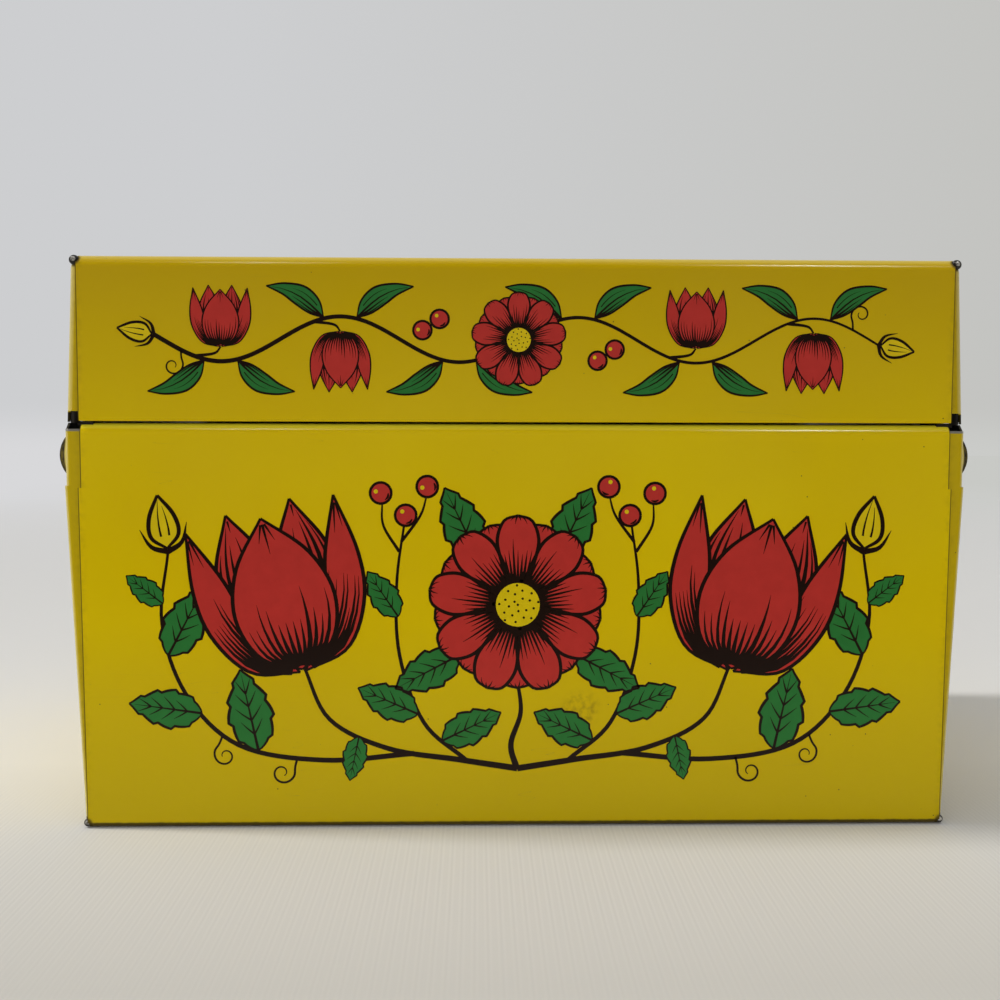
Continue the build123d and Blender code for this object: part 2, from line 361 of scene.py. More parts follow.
def sheetWaves(tree, place):  # the normal of thin sheet with slow waves, and the coat's faint skin on it
    normal = None
    for kind, detail, strength in (("sheetWave", 0.5, 0.6), ("skin", 2.0, 0.35)):
        length, height = inMetres(patterns[kind])
        noise = add(tree, "ShaderNodeTexNoise", {"Vector": place, "Scale": 1 / length, "Detail": detail})
        inputs = {"Strength": strength, "Distance": height, "Height": noise}
        if normal:
            inputs["Normal"] = normal
        normal = add(tree, "ShaderNodeBump", inputs)
    return normal


def nearLevel(tree, value, level, start, end):  # 1 up to the start's distance from a level, 0 from the end's on
    off = add(tree, "ShaderNodeMath", {0: value, 1: level}, operation="SUBTRACT")
    gap = add(tree, "ShaderNodeMath", {0: off}, operation="ABSOLUTE")
    return add(tree, "ShaderNodeMapRange", {"Value": gap, "From Min": start, "From Max": end,
                                            "To Min": 1.0, "To Max": 0.0}, interpolation_type="SMOOTHSTEP")


def nearPoint(tree, place, point, start, end):  # the same round a point, in mm
    gap = add(tree, "ShaderNodeVectorMath", {0: place, 1: inMetres(point)}, operation="DISTANCE")
    return nearLevel(tree, gap.outputs["Value"], 0.0, start * mm, end * mm)


def seamPlace(tree, body, height):  # where the cut edge of the wrapper runs, as half a length
    sizes = box[body]
    if body == "lid":
        return sizes["foot"]
    stepHeight = sizes["stepHeight"] * mm
    slope = (sizes["step"] - sizes["foot"]) / stepHeight
    lower = add(tree, "ShaderNodeMath", {0: height, 1: slope, 2: sizes["foot"]}, operation="MULTIPLY_ADD")
    above = add(tree, "ShaderNodeMath", {0: height, 1: stepHeight}, operation="GREATER_THAN")
    return add(tree, "ShaderNodeMix", {"Factor": above, 2: lower, 3: sizes["band"]})


def wholeCoat(tree, body, part, place, facing, height):  # 1 where the sheet is printed, 0 where it is bare tin
    middle = add(tree, "ShaderNodeVectorMath", {0: place, 1: (0, 0, box[body]["middle"] * mm)},
                 operation="SUBTRACT")
    outwards = add(tree, "ShaderNodeVectorMath", {0: middle, 1: facing}, operation="DOT_PRODUCT")
    outside = add(tree, "ShaderNodeMapRange", {"Value": outwards.outputs["Value"], "From Min": -0.5 * mm,
                                               "From Max": 0.5 * mm})
    tilt = add(tree, "ShaderNodeVectorMath", {0: facing}, operation="ABSOLUTE")
    sideways, _, upwards = add(tree, "ShaderNodeSeparateXYZ", {0: tilt}).outputs
    start, end = wear["cut"]
    if part == "wrapper":
        uncut = nearLevel(tree, sideways, 0.0, start, end)
    else:
        edgeUp = add(tree, "ShaderNodeMapRange", {"Value": upwards, "From Min": start, "From Max": end})
        atSplit = nearLevel(tree, height, *inMetres(wear["split"]))
        splitEdge = add(tree, "ShaderNodeMath", {0: edgeUp, 1: atSplit}, operation="MULTIPLY")
        # the band at the base's cut-back edge is bare tin: a painted highlight as well as wear
        bare = add(tree, "ShaderNodeMath", {0: splitEdge, 1: nearLevel(tree, height, *inMetres(wear["edge"]))},
                   operation="MAXIMUM")
        uncut = add(tree, "ShaderNodeMath", {0: 1.0, 1: bare}, operation="SUBTRACT")
    return add(tree, "ShaderNodeMath", {0: outside, 1: uncut}, operation="MULTIPLY"), sideways


def seamDirtAndShade(tree, body, place, quarter, out, height, patchy):  # dirt and painted shade along the seams, darkening round the corners, and specks of dirt
    edge = seamPlace(tree, body, height)
    line = nearLevel(tree, out, edge, *inMetres(wear["seam"]))
    beside = nearLevel(tree, out, edge, *inMetres(wear["border"]))
    border = add(tree, "ShaderNodeMath", {0: beside, 1: patchy}, operation="MULTIPLY")
    border = add(tree, "ShaderNodeMath", {0: border, 1: wear["borderShare"]}, operation="MULTIPLY")
    corner = nearPoint(tree, quarter, box[body]["corner"], *wear["corner"])
    spacing, size = wear["speck"]
    cells = add(tree, "ShaderNodeTexVoronoi", {"Vector": place, "Scale": 1 / spacing / mm})
    dirtAndShade = nearLevel(tree, cells, 0.0, size / 2 / spacing, size / spacing)
    for another in (line, border, corner):
        dirtAndShade = add(tree, "ShaderNodeMath", {0: dirtAndShade, 1: another}, operation="MAXIMUM")
    return dirtAndShade


def paintedTinplate(body, part):  # a strong yellow under hard gloss, dark along its seams, with few worn spots
    material, tree, place = newMaterial("lithographedTinplate" + body.title() + part.title())
    drift, patches, spread, clouds, handling = [add(tree, "ShaderNodeTexNoise", {
        "Vector": place, "Scale": 1 / patterns[name] / mm, "Detail": detail}) for name, detail in (
            ("drift", 2.0), ("patch", 4.0), ("scratchSpread", 1.0), ("tin", 3.0), ("handling", 4.0))]
    quarter = add(tree, "ShaderNodeVectorMath", {0: place}, operation="ABSOLUTE")
    out, nearWall, height = add(tree, "ShaderNodeSeparateXYZ", {0: quarter}).outputs
    depth = add(tree, "ShaderNodeSeparateXYZ", {0: place}).outputs[1]
    painted, sideways = wholeCoat(tree, body, part, place, place.node.outputs["Normal"], height)

    # the coat, with painted shade towards the floor and the lid's top, and painted light on the folds
    colour = laidOver(tree, enamel["yellow"], enamel["deep"], drift)
    for kind in ("heightShade", "foldLight"):
        start, end, most = wear[kind][body]
        share = add(tree, "ShaderNodeMapRange", {"Value": height, "From Min": start * mm,
                                                 "From Max": end * mm, "To Max": most})
        colour = laidOver(tree, colour, enamel[kind][body], share)
    if part == "end":
        flangeShade, bend = [add(tree, "ShaderNodeMapRange", {
            "Value": nearWall, "From Min": wear[kind][0] * mm, "From Max": wear[kind][1] * mm,
            "To Max": wear["bandShare"]}) for kind in ("flangeShade", "bend")]
        start, end = wear["bendTurn"]
        turned = add(tree, "ShaderNodeMapRange", {"Value": sideways, "From Min": start, "From Max": end})
        # painted shade: the ends' flanges are painted darker
        colour = laidOver(tree, colour, enamel["dullAndShade"], flangeShade)
        # painted sheen: the ends' upright bends are painted pale
        colour = laidOver(tree, colour, enamel["rubbedAndSheen"], turned, bend)

    # dirt and painted shade, the rubbed spot and scratches
    patchy = add(tree, "ShaderNodeMapRange", {"Value": patches, "From Min": 0.42, "From Max": 0.68})
    dirtAndShade = seamDirtAndShade(tree, body, place, quarter, out, height, patchy)
    colour = laidOver(tree, colour, enamel["dirtAndShade"], dirtAndShade, wear["dirtAndShadeShare"])
    rubbedAndSheen = nearPoint(tree, place, wear["smearPlace"], *wear["smear"])
    colour = laidOver(tree, colour, enamel["smear"], rubbedAndSheen, patchy, wear["smearShare"])
    along = add(tree, "ShaderNodeMapping", {0: place, "Rotation": (0, radians(28), 0), "Scale": (3, 12, 60)})
    hair = add(tree, "ShaderNodeTexNoise", {"Vector": along, "Scale": 1 / patterns["scratchLength"] / mm,
                                            "Detail": 1.0})
    rare = add(tree, "ShaderNodeMapRange", {"Value": spread, "From Min": 0.6, "From Max": 0.68})
    colour = laidOver(tree, colour, enamel["scratch"], nearLevel(tree, hair, 0.5, *wear["scratch"]), rare,
                      wear["scratchShare"])
    # painted shade: the bend along the floor is painted dark, with a wobbly edge
    if body == "base":
        wobble = add(tree, "ShaderNodeMath", {0: patches, 1: wear["floorWobble"] * mm,
                                              2: -wear["floorWobble"] / 2 * mm}, operation="MULTIPLY_ADD")
        level = add(tree, "ShaderNodeMath", {0: height, 1: wobble})
        colour = laidOver(tree, colour, enamel["undersideShade"], nearLevel(tree, level, *inMetres(wear["floorBend"])),
                          wear["floorBendShare"])
    dullAndShade = dirtAndShade
    # painted shade: the hinge domes are painted dark and mottled, and dulled
    if (body, part) == ("base", "end"):
        start, end = wear["dome"]
        dome = add(tree, "ShaderNodeMapRange", {"Value": out, "From Min": start * mm, "From Max": end * mm})
        mottled = add(tree, "ShaderNodeMapRange", {"Value": patches, "From Min": 0.35, "From Max": 0.6,
                                                   "To Min": 0.82})
        colour = laidOver(tree, colour, enamel["dome"], dome, mottled)
        dullAndShade = add(tree, "ShaderNodeMath", {0: dirtAndShade, 1: dome}, operation="MAXIMUM")

    # bare tin, and the hinge corners painted black as painted shade
    colour = laidOver(tree, laidOver(tree, enamel["tinDark"], enamel["tin"], clouds), colour, painted)
    if part == "end":
        colour = laidOver(tree, colour, enamel["hingeShade"], nearLevel(tree, height, *inMetres(wear["hingeHeight"])),
                          nearLevel(tree, depth, *inMetres(wear["hingeDepth"])), wear["hingeShare"])

    # the gloss: smooth varnish, dull where dirt and painted shade lie, and soft tin
    gloss = add(tree, "ShaderNodeMapRange", {"Value": handling, "From Min": 0.3, "From Max": 0.7,
                                             "To Min": 0.12, "To Max": 0.2})
    varnish = add(tree, "ShaderNodeMix", {"Factor": dullAndShade, 2: gloss, 3: 0.8})
    rough = add(tree, "ShaderNodeMix", {"Factor": painted, 2: 0.34, 3: varnish})
    # bare tin is only 0.65 metal, so that it shows pale: a painted sheen
    shine = add(tree, "ShaderNodeMath", {0: painted, 1: -0.65, 2: 0.65}, operation="MULTIPLY_ADD")
    shader = add(tree, "ShaderNodeBsdfPrincipled", {
        "Base Color": colour, "Roughness": rough, "IOR": 1.5, "Specular IOR Level": 0.16, "Metallic": shine,
        "Normal": sheetWaves(tree, place)})
    add(tree, "ShaderNodeOutputMaterial", {"Surface": shader})
    return material


def bareSteel():  # rolled steel sheet, nearly black with age and oil, with a soft shine
    material, tree, place = newMaterial("bareSteelSheet")
    tarnish = add(tree, "ShaderNodeTexNoise", {"Vector": place, "Scale": 1 / patterns["steel"] / mm,
                                               "Detail": 4.0})
    colour = laidOver(tree, "#15130F", "#3E3A34", tarnish)
    rough = add(tree, "ShaderNodeMapRange", {"Value": tarnish, "From Min": 0.3, "From Max": 0.7,
                                             "To Min": 0.3, "To Max": 0.55})
    shader = add(tree, "ShaderNodeBsdfPrincipled", {"Base Color": colour, "Metallic": 1.0, "Roughness": rough})
    add(tree, "ShaderNodeOutputMaterial", {"Surface": shader})
    return material


finishes = {(body, part): paintedTinplate(body, part) for body in ("base", "lid") for part in ("wrapper", "end")}
finishes["hinge", "ear"] = bareSteel()
for name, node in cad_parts.items():
    node.data.materials.clear()
    node.data.materials.append(finishes[tuple(name.split("_")[:2])])
print("tinplate and steel dressed")

# Corner beads: where a wrapper ends, the drawn corner of the end stands out as a small ball, worn to bare tin
beads = {
    "base": {"middle": (66.5, 43.95, 0.75), "radius": 0.62, "squash": 0.86},        # mm
    "lid": {"middle": (66.95, 43.84, 87.02), "radius": 0.75, "squash": 0.86},
    "rubbedAndSheen": (0.22, 0.46),     # the bright spot in front, worn tin painted brighter as a highlight, fades between these distances
    "dark": "#17120B",
    "bright": "#CFCBC2",
    "tarnish": 0.625,           # mm
}


def wornTin(body):  # dark old tin with a bright spot in front: worn tin, and a painted highlight
    material, tree, place = newMaterial("wornTinCorner" + body.title())
    quarter = add(tree, "ShaderNodeVectorMath", {0: place}, operation="ABSOLUTE")
    x, y, z = beads[body]["middle"]
    reach = beads[body]["radius"]
    rubbedAndSheen = nearPoint(tree, quarter, (x, y + reach * 0.8, z + reach * 0.15), *beads["rubbedAndSheen"])
    tarnish = add(tree, "ShaderNodeTexNoise", {"Vector": place, "Scale": 1 / beads["tarnish"] / mm,
                                               "Detail": 3.0})
    share = add(tree, "ShaderNodeMapRange", {"Value": tarnish, "From Min": 0.3, "From Max": 0.6})
    colour = laidOver(tree, beads["dark"], beads["bright"], rubbedAndSheen, share)
    shader = add(tree, "ShaderNodeBsdfPrincipled", {"Base Color": colour, "Metallic": 0.3, "Roughness": 0.35})
    add(tree, "ShaderNodeOutputMaterial", {"Surface": shader})
    return material


def beadTree():  # a small flattened ball on each point
    tree, sockets, given = newStamp("cornerBeads", {"Corners": "Geometry", "Radius": "Float", "Squash": "Float",
                                                    "Finish": "Material"})
    ball = add(tree, "GeometryNodeMeshIcoSphere", {"Radius": given["Radius"], "Subdivisions": 4})
    flattened = add(tree, "GeometryNodeInstanceOnPoints", {
        "Points": given["Corners"], "Instance": ball,
        "Scale": add(tree, "ShaderNodeCombineXYZ", {"X": 1.0, "Y": given["Squash"], "Z": 1.0})})
    real = add(tree, "GeometryNodeRealizeInstances", {0: flattened})
    smoothed = add(tree, "GeometryNodeSetShadeSmooth", {0: real})
    dressed = add(tree, "GeometryNodeSetMaterial", {0: smoothed, "Material": given["Finish"]})
    add(tree, "NodeGroupOutput", {0: dressed})
    return tree, sockets


beadStamp = beadTree()
for body in ("base", "lid"):
    x, y, z = inMetres(beads[body]["middle"])
    mesh = bpy.data.meshes.new(body + "Beads")
    mesh.from_pydata([(sx * x, sy * y, z) for sx in (-1, 1) for sy in (-1, 1)], [], [])
    corners = plainObject(body + "Beads", mesh)
    shape = stamped(corners, *beadStamp, {"Radius": beads[body]["radius"] * mm, "Squash": beads[body]["squash"],
                                          "Finish": wornTin(body)})
    corners.modifiers.clear()
    corners.data = shape
    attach(corners, body)
print("corner beads set")

# Painted shade: black blocks packed in the gap at either end of the rolled rim, on the hinge side, where no light
# comes through
hingeShade = {
    "x": (64.6, 66.95),         # mm
    "y": (-43.7, -43.0),
    "z": (62.2, 62.82),
    "clot": 0.4,
}


def hingeGrease():  # painted shade: black and clotted, with hardly a shine
    material, tree, place = newMaterial("paintedHingeShade")
    clots = add(tree, "ShaderNodeTexNoise", {"Vector": place, "Scale": 1 / hingeShade["clot"] / mm, "Detail": 3.0})
    colour = laidOver(tree, "#070604", "#241B10", clots)
    bump = add(tree, "ShaderNodeBump", {"Strength": 0.5, "Distance": 0.05 * mm, "Height": clots})
    shader = add(tree, "ShaderNodeBsdfPrincipled", {"Base Color": colour, "Roughness": 0.6, "Normal": bump})
    add(tree, "ShaderNodeOutputMaterial", {"Surface": shader})
    return material


lumps = bpy.data.meshes.new("hingeGrease")
xs, ys, zs = [inMetres(hingeShade[axis]) for axis in "xyz"]
points, faces = [], []
for ends in ([-x for x in reversed(xs)], xs):       # the left lump, then the right one
    start = len(points)
    points += [(x, y, z) for x in ends for y in ys for z in zs]
    faces += [[start + i for i in face] for face in ((0, 1, 3, 2), (4, 6, 7, 5), (0, 4, 5, 1), (2, 3, 7, 6),
                                                     (0, 2, 6, 4), (1, 5, 7, 3))]
lumps.from_pydata(points, [], faces)
lumps.materials.append(hingeGrease())
packed = plainObject("hingeGrease", lumps)
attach(packed, "base")
print("hinge grease set")

# Print: flowers in four inks, each a thin closed layer on the sheet, the same on both long walls. Drawn in mm,
# with levels for z
inks = {"paper": "#EED210", "red": "#CB3932", "green": "#307F3A", "black": "#20110A"}
printing = {
    "levelHeight": 0.006,       # mm from one layer of ink to the next
    "sink": 0.05,               # mm that the ink reaches into the sheet
    "line": 0.46,               # mm, width of an outline
    "wall": 44.5,               # mm from the middle to either long wall
    "thinnest": 0.03,           # mm, the least width of a line
    "drop": -1.1,               # share of its height that a layer goes down: no two undersides share a depth
    "weld": 1e-5,               # mm
    "darker": 0.8,              # the ink's tone where it lies thick
    "seed": 11,
}
chance = Random(printing["seed"])
inkOrder = list(inks)


def smooth(points, steps=6):  # a soft open curve through the given points
    row = [Vector(p) for p in points]
    row = [2 * row[0] - row[1], *row, 2 * row[-1] - row[-2]]
    path = []
    for a, b, c, d in zip(row, row[1:], row[2:], row[3:]):
        for i in range(steps):
            t = i / steps
            path.append(0.5 * (2 * b + (c - a) * t + (2 * a - 5 * b + 4 * c - d) * t ** 2
                               + (3 * b - a - 3 * c + d) * t ** 3))
    return path + [row[-2]]


def evenly(path, count):  # the same curve with evenly spaced points
    lengths = [0]
    for a, b in zip(path, path[1:]):
        lengths.append(lengths[-1] + (b - a).length)
    found, i = [], 0
    for k in range(count):
        goal = lengths[-1] * k / (count - 1)
        while i < len(path) - 2 and lengths[i + 1] < goal:
            i += 1
        share = (goal - lengths[i]) / max(lengths[i + 1] - lengths[i], 1e-9)
        found.append(path[i].lerp(path[i + 1], min(share, 1)))
    return found


def mirrored(points):
    return [(-x, y) for x, y in points]


def newDrawing():
    return {"fills": [], "lines": []}


def addLine(drawing, path, level, start, middle, end, ink="black"):  # a brush line with three widths in mm
    last = len(path) - 1
    widths = []
    for i in range(last + 1):
        t = i / last
        widths.append(start * (1 - t) * (1 - 2 * t) + middle * 4 * t * (1 - t) + end * t * (2 * t - 1))
    nudge = len(drawing["lines"]) % 7 / 14          # crossing lines lie at slightly different heights
    drawing["lines"].append((path, [max(w, printing["thinnest"]) / 2 for w in widths], level + nudge, ink))


# A petal or leaf between two sides that share their ends, with lines that follow its grain. A hatch starts at the
# root and a tip at the point, each given by its place across from 0 to 1, two shares of the length, and a width
def addLeafForm(drawing, left, right, level, ink, hatches=(), tips=(), teeth=0, toothDepth=0.0, count=25):
    sides = []
    for side, sign in ((left, 1), (right, -1)):
        path = evenly(smooth(side), count)
        for i in range(1, count - 1):
            if teeth:
                along = (path[i + 1] - path[i - 1]).normalized()
                swing = (1 - i * teeth / (count - 1) % 1) * toothDepth * sin(pi * i / (count - 1)) ** 0.5
                path[i] = path[i] + Vector((-along.y, along.x)) * sign * swing
        sides.append(path)
    drawing["fills"].append((sides[0] + sides[1][-2:0:-1], level, ink))
    for path in sides:
        addLine(drawing, path, level + 1, 0.3, printing["line"] * 1.15, 0.35)
    for across, start, stop, width in hatches:
        grain = [a.lerp(b, across) for a, b in zip(*sides)]
        first, last = round(start * (count - 1)), round(stop * (count - 1))
        addLine(drawing, evenly(grain[first:last + 1], 7), level + 1, width, width * 0.62, 0.04)
    for across, start, stop, width in tips:
        grain = [a.lerp(b, across) for a, b in zip(*sides)]
        first, last = round(stop * (count - 1)), round(start * (count - 1))
        addLine(drawing, evenly(grain[first:last + 1], 6), level + 1, 0.04, width * 0.62, width)


def fan(low, high, count, start, stop, width):  # hatches between two shares of the width, of uneven length
    steps = [low + (high - low) * i / (count - 1) for i in range(count)]
    return [(a, start, stop * chance.uniform(0.72, 1.1), width * chance.uniform(0.75, 1.15)) for a in steps]


def tulip():
    drawing = newDrawing()
    hind = [(-2, 3), (-7.2, 9), (-7.8, 15.5), (-4.4, 23)], [(-2, 3), (-0.6, 10), (-1.2, 17), (-4.4, 23)]
    outer = [(-0.4, 0), (-6.8, 1.6), (-10.6, 7.5), (-11.4, 14), (-10.2, 22)], \
            [(-0.4, 0), (-2.6, 3.5), (-5.6, 9.5), (-7.2, 15), (-10.2, 22)]
    front = [(0, 0.3), (-5.0, 3.2), (-6.9, 9.2), (-5.0, 15.6), (0, 21.4)]
    for turn in (list, mirrored):
        addLeafForm(drawing, turn(hind[0]), turn(hind[1]), 0, "red", fan(0.1, 0.9, 7, 0.45, 0.85, 0.66),
                    [(0.5, 0.97, 0.86, 0.3)])
    for turn in (list, mirrored):
        addLeafForm(drawing, turn(outer[0]), turn(outer[1]), 2, "red",
                    fan(0.14, 0.9, 9, 0.03, 0.55, 0.8), [(0.3, 0.97, 0.84, 0.3), (0.7, 0.97, 0.8, 0.35)])
    addLeafForm(drawing, front, mirrored(front), 4, "red", fan(0.08, 0.92, 12, 0.03, 0.48, 0.8),
                [(0.32, 0.96, 0.82, 0.34), (0.5, 0.96, 0.74, 0.4), (0.68, 0.96, 0.82, 0.34)])
    return drawing


def daisyPetal():
    drawing = newDrawing()
    side = [(0, 2.2), (-1.5, 3.4), (-2.5, 6.6), (-3.1, 9.8), (-2.1, 12.6), (0, 13.4)]
    addLeafForm(drawing, side, mirrored(side), 0, "red", fan(0.14, 0.86, 7, 0.06, 0.6, 0.64),
                [(0.24, 0.95, 0.84, 0.28), (0.42, 0.96, 0.8, 0.3), (0.6, 0.96, 0.84, 0.3),
                 (0.78, 0.95, 0.8, 0.28)])
    return drawing


def disc(radius, sides=28, middle=(0, 0)):
    return [Vector((middle[0] + radius * cos(2 * pi * i / sides), middle[1] + radius * sin(2 * pi * i / sides)))
            for i in range(sides)]


def daisyHeart():
    drawing = newDrawing()
    drawing["fills"].append((disc(3.6), 0, "paper"))
    rim = disc(3.6)
    addLine(drawing, rim + rim[:1], 1, 0.55, 0.55, 0.55)
    for i in range(26):
        turn = 2 * pi * i / 26 + chance.uniform(-0.05, 0.05)
        reach = chance.uniform(4.3, 5.2)
        addLine(drawing, [Vector((r * cos(turn), r * sin(turn))) for r in (3.5, (3.5 + reach) / 2, reach)], 1,
                0.55, 0.35, 0.05)
    for i in range(22):     # seeds, spaced as a sunflower spaces them
        far, turn = 0.68 * i ** 0.5, 2.4 * i
        drawing["fills"].append((disc(0.2, 7, (far * cos(turn), far * sin(turn))), 1, "black"))
    return drawing


def toothedLeaf():
    drawing = newDrawing()
    side = [(0, 0), (-2.3, 2.2), (-3.2, 6.2), (-2.1, 10.4), (0, 14)]
    addLeafForm(drawing, side, mirrored(side), 0, "green", [(0.5, 0, 0.92, 0.5)], (), 5, 0.75)
    for y in (2.8, 5.2, 7.6, 9.8):
        for sign in (-1, 1):
            tip = sign * (2.3 - abs(y - 5) * 0.22)
            addLine(drawing, smooth([(0, y), (tip * 0.5, y + 1.1), (tip, y + 2.4)], 4), 1, 0.34, 0.24, 0.05)
    return drawing


def bladeLeaf(sign):  # a long leaf that curls to one side, with one half in shade
    def turned(points):
        return [(sign * x, y) for x, y in points]
    drawing = newDrawing()
    low = turned([(0, 0), (-2.4, 3.6), (-2.6, 8.2), (0.2, 12.6), (3.6, 15.4)])
    high = turned([(0, 0), (1.5, 3.4), (2.1, 7.6), (2.4, 11.2), (3.6, 15.4)])
    addLeafForm(drawing, low, high, 0, "green",
                [(0.56, 0, 0.9, 0.55), (0.76, 0.05, 0.6, 0.6), (0.9, 0.05, 0.5, 0.5), (0.3, 0.2, 0.62, 0.28)])
    return drawing


def bud():  # an unopened flower that is only outlined, on the bare yellow
    drawing = newDrawing()
    side = [(0, 0.4), (-1.7, 2.0), (-1.5, 4.4), (0, 7.0)]
    addLeafForm(drawing, side, mirrored(side), 0, "paper", [(0.36, 0.3, 0.9, 0.28), (0.66, 0.3, 0.8, 0.28)])
    for sign in (-1, 1):
        addLine(drawing, smooth([(0, 0), (sign * 1.9, 0.9), (sign * 2.9, 3.2)], 4), 1, 0.7, 0.5, 0.06)
    return drawing


def berry():  # with a pale glint
    drawing = newDrawing()
    rim = disc(1.55, 20)
    drawing["fills"].append((rim, 0, "red"))
    addLine(drawing, rim + rim[:1], 1, 0.4, 0.4, 0.4)
    drawing["fills"].append((disc(0.32, 9, (-0.5, 0.55)), 1, "paper"))
    addLine(drawing, smooth([(0.95, -0.55), (0.6, -1.0), (0.0, -1.2)], 4), 1, 0.12, 0.32, 0.06)
    return drawing


def curl(sign=1):  # a tendril that winds in on itself
    drawing = newDrawing()
    path = [Vector((0, 0)), Vector((0.2 * sign, 1.6))]
    for i in range(18):
        turn, radius = i * 0.42, 2.3 * 0.93 ** i
        path.append(Vector((sign * (2.4 - radius * cos(turn)), 3.0 + radius * sin(turn))))
    addLine(drawing, smooth(path, 3), 0, 0.42, 0.36, 0.16)
    return drawing


def stems(routes):  # each route: its points and its width at the root
    drawing = newDrawing()
    for points, width in routes:
        addLine(drawing, smooth(points, 8), 0, width, width * 0.8, width * 0.5)
    return drawing


def lithoInk(name, code):  # ink printed under the varnish: flat strong colour, a little uneven, with its gloss
    material, tree, place = newMaterial("lithoInk" + name.title())
    uneven = add(tree, "ShaderNodeTexNoise", {"Vector": place, "Scale": 1 / patterns["ink"] / mm,
                                              "Detail": 3.0})
    dark = [c * printing["darker"] for c in linear(code)[:3]] + [1]
    colour = laidOver(tree, dark, code, uneven)
    shader = add(tree, "ShaderNodeBsdfPrincipled", {
        "Base Color": colour, "Roughness": 0.18, "IOR": 1.5, "Specular IOR Level": 0.16,
        "Normal": sheetWaves(tree, place)})
    add(tree, "ShaderNodeOutputMaterial", {"Surface": shader})
    return material


def inkTree(materials):  # stamps a drawing at each place, closes its layers and sets it on both long walls
    tree, sockets, given = newStamp("stampInk", {"Places": "Geometry", "Fills": "Object", "Lines": "Object",
                                                 "Level height": "Float", "Sink": "Float", "Wall": "Float"})
    fills = add(tree, "GeometryNodeObjectInfo", {"Object": given["Fills"]}).outputs["Geometry"]
    paths = add(tree, "GeometryNodeObjectInfo", {"Object": given["Lines"]}).outputs["Geometry"]
    halfWidth = add(tree, "GeometryNodeInputNamedAttribute", {"Name": "halfWidth"}, data_type="FLOAT")
    upright = add(tree, "GeometryNodeSetCurveNormal", {0: add(tree, "GeometryNodeMeshToCurve", {0: paths})},
                  mode="Z_UP")
    nib = add(tree, "GeometryNodeCurvePrimitiveLine", {"Start": (-1, 0, 0), "End": (1, 0, 0)})
    brushed = add(tree, "GeometryNodeCurveToMesh", {"Curve": upright, "Profile Curve": nib, "Scale": halfWidth})
    drawn = add(tree, "GeometryNodeJoinGeometry", {0: fills})
    tree.links.new(brushed.outputs[0], drawn.inputs[0])
    turn = add(tree, "GeometryNodeInputNamedAttribute", {"Name": "turn"}, data_type="FLOAT")
    size = add(tree, "GeometryNodeInputNamedAttribute", {"Name": "size"}, data_type="FLOAT")
    placed = add(tree, "GeometryNodeInstanceOnPoints", {
        "Points": given["Places"], "Instance": drawn,
        "Rotation": add(tree, "ShaderNodeCombineXYZ", {"Z": turn}),
        "Scale": add(tree, "ShaderNodeCombineXYZ", {"X": size, "Y": size, "Z": 1.0})})
    flat = add(tree, "GeometryNodeTransform", {
        0: add(tree, "GeometryNodeRealizeInstances", {0: placed}),
        "Scale": add(tree, "ShaderNodeCombineXYZ", {"X": 1.0, "Y": 1.0, "Z": given["Level height"]}),
        "Translation": add(tree, "ShaderNodeCombineXYZ", {"Z": given["Level height"]})})
    upwards = add(tree, "FunctionNodeCompare", {
        0: add(tree, "ShaderNodeSeparateXYZ", {0: add(tree, "GeometryNodeInputNormal")}).outputs[2]},
        operation="GREATER_THAN")
    under = add(tree, "GeometryNodeFlipFaces", {0: flat, 1: upwards})
    height = add(tree, "ShaderNodeSeparateXYZ", {0: add(tree, "GeometryNodeInputPosition")}).outputs[2]
    sink = add(tree, "ShaderNodeMath", {0: given["Sink"], 1: -1.0}, operation="MULTIPLY")
    drop = add(tree, "ShaderNodeMath", {0: height, 1: printing["drop"], 2: sink}, operation="MULTIPLY_ADD")
    deep = add(tree, "GeometryNodeExtrudeMesh", {
        "Mesh": under, "Offset": add(tree, "ShaderNodeCombineXYZ", {"Z": drop}), "Offset Scale": 1.0,
        "Individual": False})
    closed = add(tree, "GeometryNodeJoinGeometry", {0: add(tree, "GeometryNodeFlipFaces", {0: under})})
    tree.links.new(deep.outputs["Mesh"], closed.inputs[0])
    welded = add(tree, "GeometryNodeMergeByDistance", {0: closed, "Distance": printing["weld"]})
    front = add(tree, "GeometryNodeTransform", {
        0: welded, "Rotation": (pi / 2, 0, 0), "Scale": (mm, mm, mm),
        "Translation": add(tree, "ShaderNodeCombineXYZ", {"Y": given["Wall"]})})
    pair = add(tree, "GeometryNodeJoinGeometry", {0: front})
    far = add(tree, "GeometryNodeTransform", {0: front, "Rotation": (0, 0, pi)})
    tree.links.new(far.outputs[0], pair.inputs[0])
    dressed = add(tree, "GeometryNodeRealizeInstances", {0: pair})
    ink = add(tree, "GeometryNodeInputNamedAttribute", {"Name": "ink"}, data_type="INT")
    for i, material in enumerate(materials):
        chosen = add(tree, "FunctionNodeCompare", {2: ink.outputs[0], 3: i}, data_type="INT", operation="EQUAL")
        dressed = add(tree, "GeometryNodeSetMaterial", {0: dressed, "Selection": chosen, "Material": material})
    add(tree, "NodeGroupOutput", {0: dressed})
    return tree, sockets


